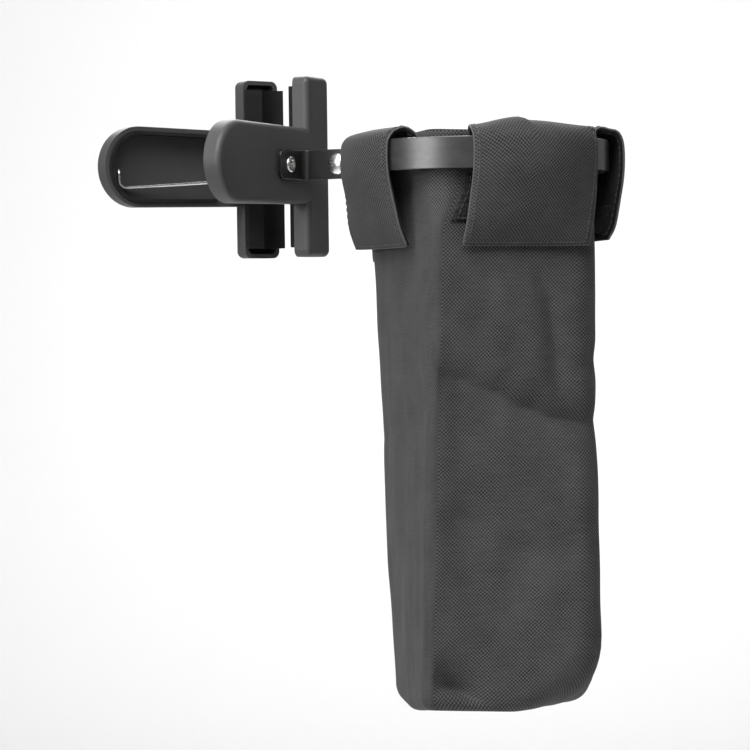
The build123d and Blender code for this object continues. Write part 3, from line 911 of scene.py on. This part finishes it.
def make_loop_tape(name, wall):
    """Loop tape sewn to the wall under a flap, with its stitches."""
    low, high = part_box(f"{name}_loop_patch")
    first, end = loop_tape_ends.get(name, (2, STRAIGHT - 2))
    columns = range(wall * PER_SIDE + first, wall * PER_SIDE + end + 1)
    lift = bag_cloth + tape_thickness / 2
    points, normals, uvs = wall_grid(evenly(high.z, low.z + loop_tape_rise, 16), columns, lift)
    made = sheet_mesh(f"{name}_loop_tape", points, uvs, loop_look)
    thicken(made, tape_thickness, 0)
    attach(made, "hoop")
    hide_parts(f"{name}_loop_patch")
    last_row, last = len(points) - 2, len(points[0]) - 2
    border = [(i, 1) for i in range(1, last_row)] + [(last_row, j) for j in range(1, last)]
    border += [(i, last) for i in range(last_row, 0, -1)]
    line = [(points[i][j] + normals[i][j] * tape_thickness / 2, normals[i][j]) for i, j in border]
    sewing = stitches(f"{name}_loop_stitching", [line], thread)
    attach(sewing, "hoop")


for wall, flap_name in enumerate(flap_names):
    lining_points, lining_normals = make_flap(flap_name)
    make_hook_tape(flap_name, lining_points, lining_normals)
    make_loop_tape(flap_name, wall)

# ------------------------------------------------------------------------------------------- spring
wire_radius = 0.9 * MM
coil_radius = 4.4 * MM
coil_turns = 6
leg_root_z = 5.5 * MM
leg_rise = 4.5 * MM
leg_reach = 62 * MM
leg_hook = 9 * MM
leg_bend = 4 * MM
jaw_wall = 2 * MM


def spring_route():
    """Front leg's hooked end, the front leg, the coil from top to bottom, then the rear leg and its hook."""
    leg_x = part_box("front_jaw_shell")[1].x - jaw_wall - wire_radius
    leg_end = Vector((leg_x, pin_centre.y - leg_reach, leg_root_z + leg_rise))
    mirror_normal = Vector((-pin_centre.y, pin_centre.x, 0)).normalized()

    def mirrored(point):
        flat = point - 2 * mirror_normal * mirror_normal.dot(point)
        return Vector((flat.x, flat.y, -point.z))

    start = Vector((pin_centre.x + coil_radius, pin_centre.y, leg_root_z))
    bend_start = leg_end - Vector((0, 0, leg_bend))
    bend_end = leg_end + (start - leg_end).normalized() * leg_bend
    front = [leg_end - Vector((0, 0, leg_hook)), leg_end - Vector((0, 0, (leg_hook + leg_bend) / 2))]
    for part in evenly(0, 1, 8):
        front.append(bend_start.lerp(leg_end, part).lerp(leg_end.lerp(bend_end, part), part))
    front += [bend_end.lerp(start, k / 12) for k in range(1, 12)]
    rear = [mirrored(point) for point in reversed(front)]
    first_turn = 0.12
    last_turn = math.atan2(*(mirrored(start).xy - pin_centre.xy).yx)
    total = 2 * math.pi * coil_turns - (first_turn - last_turn)
    coil = []
    steps = 24 * coil_turns
    for k in range(steps + 1):
        turn = first_turn + total * k / steps
        arm = Vector((math.cos(turn), math.sin(turn), 0)) * coil_radius
        z = leg_root_z * (1 - 2 * k / steps)
        coil.append(Vector((pin_centre.x, pin_centre.y, z)) + arm)
    return front + coil + rear


spring = tube_mesh("spring_wire", spring_route(), wire_radius, wire_look, 12)
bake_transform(spring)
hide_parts("torsion_spring")

# ------------------------------------------------------------------------- stage, camera and lights
camera_turn = math.radians(28.9)
camera_distance = 1.3
camera_side = 43.2 * MM
camera_drop = -64 * MM
camera_pitch = math.radians(1.6)
camera_roll = math.radians(0.75)
camera_lens = 128.928  # millimetres, for the sensor's width
sensor_width = 36.0
light_distance = 1.5
floor_drop = 0.35  # of the paper floor under the bag
view_right = Vector((math.cos(camera_turn), math.sin(camera_turn), 0))
view_away = Vector((-math.sin(camera_turn), math.cos(camera_turn), 0))


def make_stage():
    """A pale paper floor that curves up into a round wall."""
    ground = floor_z - floor_drop
    flat, bend, tall = 1.9, 1.1, 4.0
    line = [(flat * part, ground) for part in (0.02, 0.2, 0.5, 0.8, 1)]
    for turn in evenly(0, math.pi / 2, 14)[1:]:
        line.append((flat + bend * math.sin(turn), ground + bend * (1 - math.cos(turn))))
    line.append((flat + bend, ground + tall))
    sides = 96
    points, uvs = [], []
    ways = [Vector((math.cos(turn), math.sin(turn), 0)) for turn in evenly(0, 2 * math.pi, sides)[:-1]]
    for reach, height in line:
        points.append([hoop_centre + way * reach + upward * height for way in ways])
        uvs.append([(0, 0)] * (sides + 1))
    look = Look("pale_paper", Base_Color=(0.86, 0.86, 0.86, 1), Roughness=0.95, Specular_IOR_Level=0.05)
    look.bump(look.noise(look.place(scale=(300, 300, 300))), 0.1 * MM, 0.1)
    stage = sheet_mesh("studio_paper", points, uvs, look.material, closed=True)
    work = bmesh.new()
    work.from_mesh(stage.data)
    work.verts.ensure_lookup_table()
    work.faces.new([work.verts[k] for k in range(sides)])
    bmesh.ops.recalc_face_normals(work, faces=work.faces)
    work.to_mesh(stage.data)
    work.free()


def area_light(name, place, target, size, power, spread):
    """A rectangular lamp that the camera doesn't see."""
    light = bpy.data.lights.new(name, "AREA")
    light.shape = "RECTANGLE"
    light.size, light.size_y = size
    light.energy = power
    light.spread = math.radians(spread)
    lamp = bpy.data.objects.new(name, light)
    lamp.location = place
    lamp.visible_camera = False
    lamp.rotation_euler = (Vector(target) - Vector(place)).to_track_quat("-Z", "Y").to_euler()
    bpy.context.scene.collection.objects.link(lamp)


def make_camera():
    """A long lens in front of the clamp and a little to the bag's side."""
    place = view_right * camera_side - view_away * camera_distance + upward * camera_drop
    ahead = view_away * math.cos(camera_pitch) - upward * math.sin(camera_pitch)
    level_up = view_right.cross(ahead)
    tilted_up = level_up * math.cos(camera_roll) + view_right * math.sin(camera_roll)
    tilted_right = ahead.cross(tilted_up)
    data = bpy.data.cameras.new("camera")
    data.sensor_width = sensor_width
    data.lens = camera_lens
    data.clip_end = 50
    camera = bpy.data.objects.new("camera", data)
    turned = Matrix((tilted_right, tilted_up, -ahead)).transposed()
    camera.matrix_world = Matrix.Translation(place) @ turned.to_4x4()
    bpy.context.scene.collection.objects.link(camera)
    bpy.context.scene.camera = camera


def studio_light(name, azimuth, elevation, size, power):
    """A soft light on the object, in a direction seen from it, in degrees."""
    middle = hoop_centre + Vector((-0.03, 0, -0.09))
    turn, climb = math.radians(azimuth), math.radians(elevation)
    way = Vector((math.cos(turn) * math.cos(climb), math.sin(turn) * math.cos(climb), math.sin(climb)))
    area_light(name, middle + way * light_distance, middle, (size, size), power, 90)


def make_lights():
    """A large soft key in front and above, a low side light from the left, a back light, and two lights on
    the paper."""
    studio_light("key", -80, 50, 1.2, 16)
    studio_light("side", -108, 12, 0.5, 3.3)
    studio_light("back", 122, 42, 1.2, 8)
    for name, way, power in (("paper_behind", view_away, 17), ("paper_in_front", -view_away, 3.5)):
        wall_target = hoop_centre + way * 3.0 - upward * 0.1
        area_light(name, hoop_centre + way * 1.2 + upward * 1.3, wall_target, (1.2, 0.8), power, 120)
    world = bpy.data.worlds.new("studio")
    world.use_nodes = True
    world.node_tree.nodes["Background"].inputs[0].default_value = (1, 1, 1, 1)
    world.node_tree.nodes["Background"].inputs[1].default_value = 0.06
    bpy.context.scene.world = world
    bpy.context.scene.view_settings.view_transform = "Standard"


make_stage()
make_camera()
make_lights()
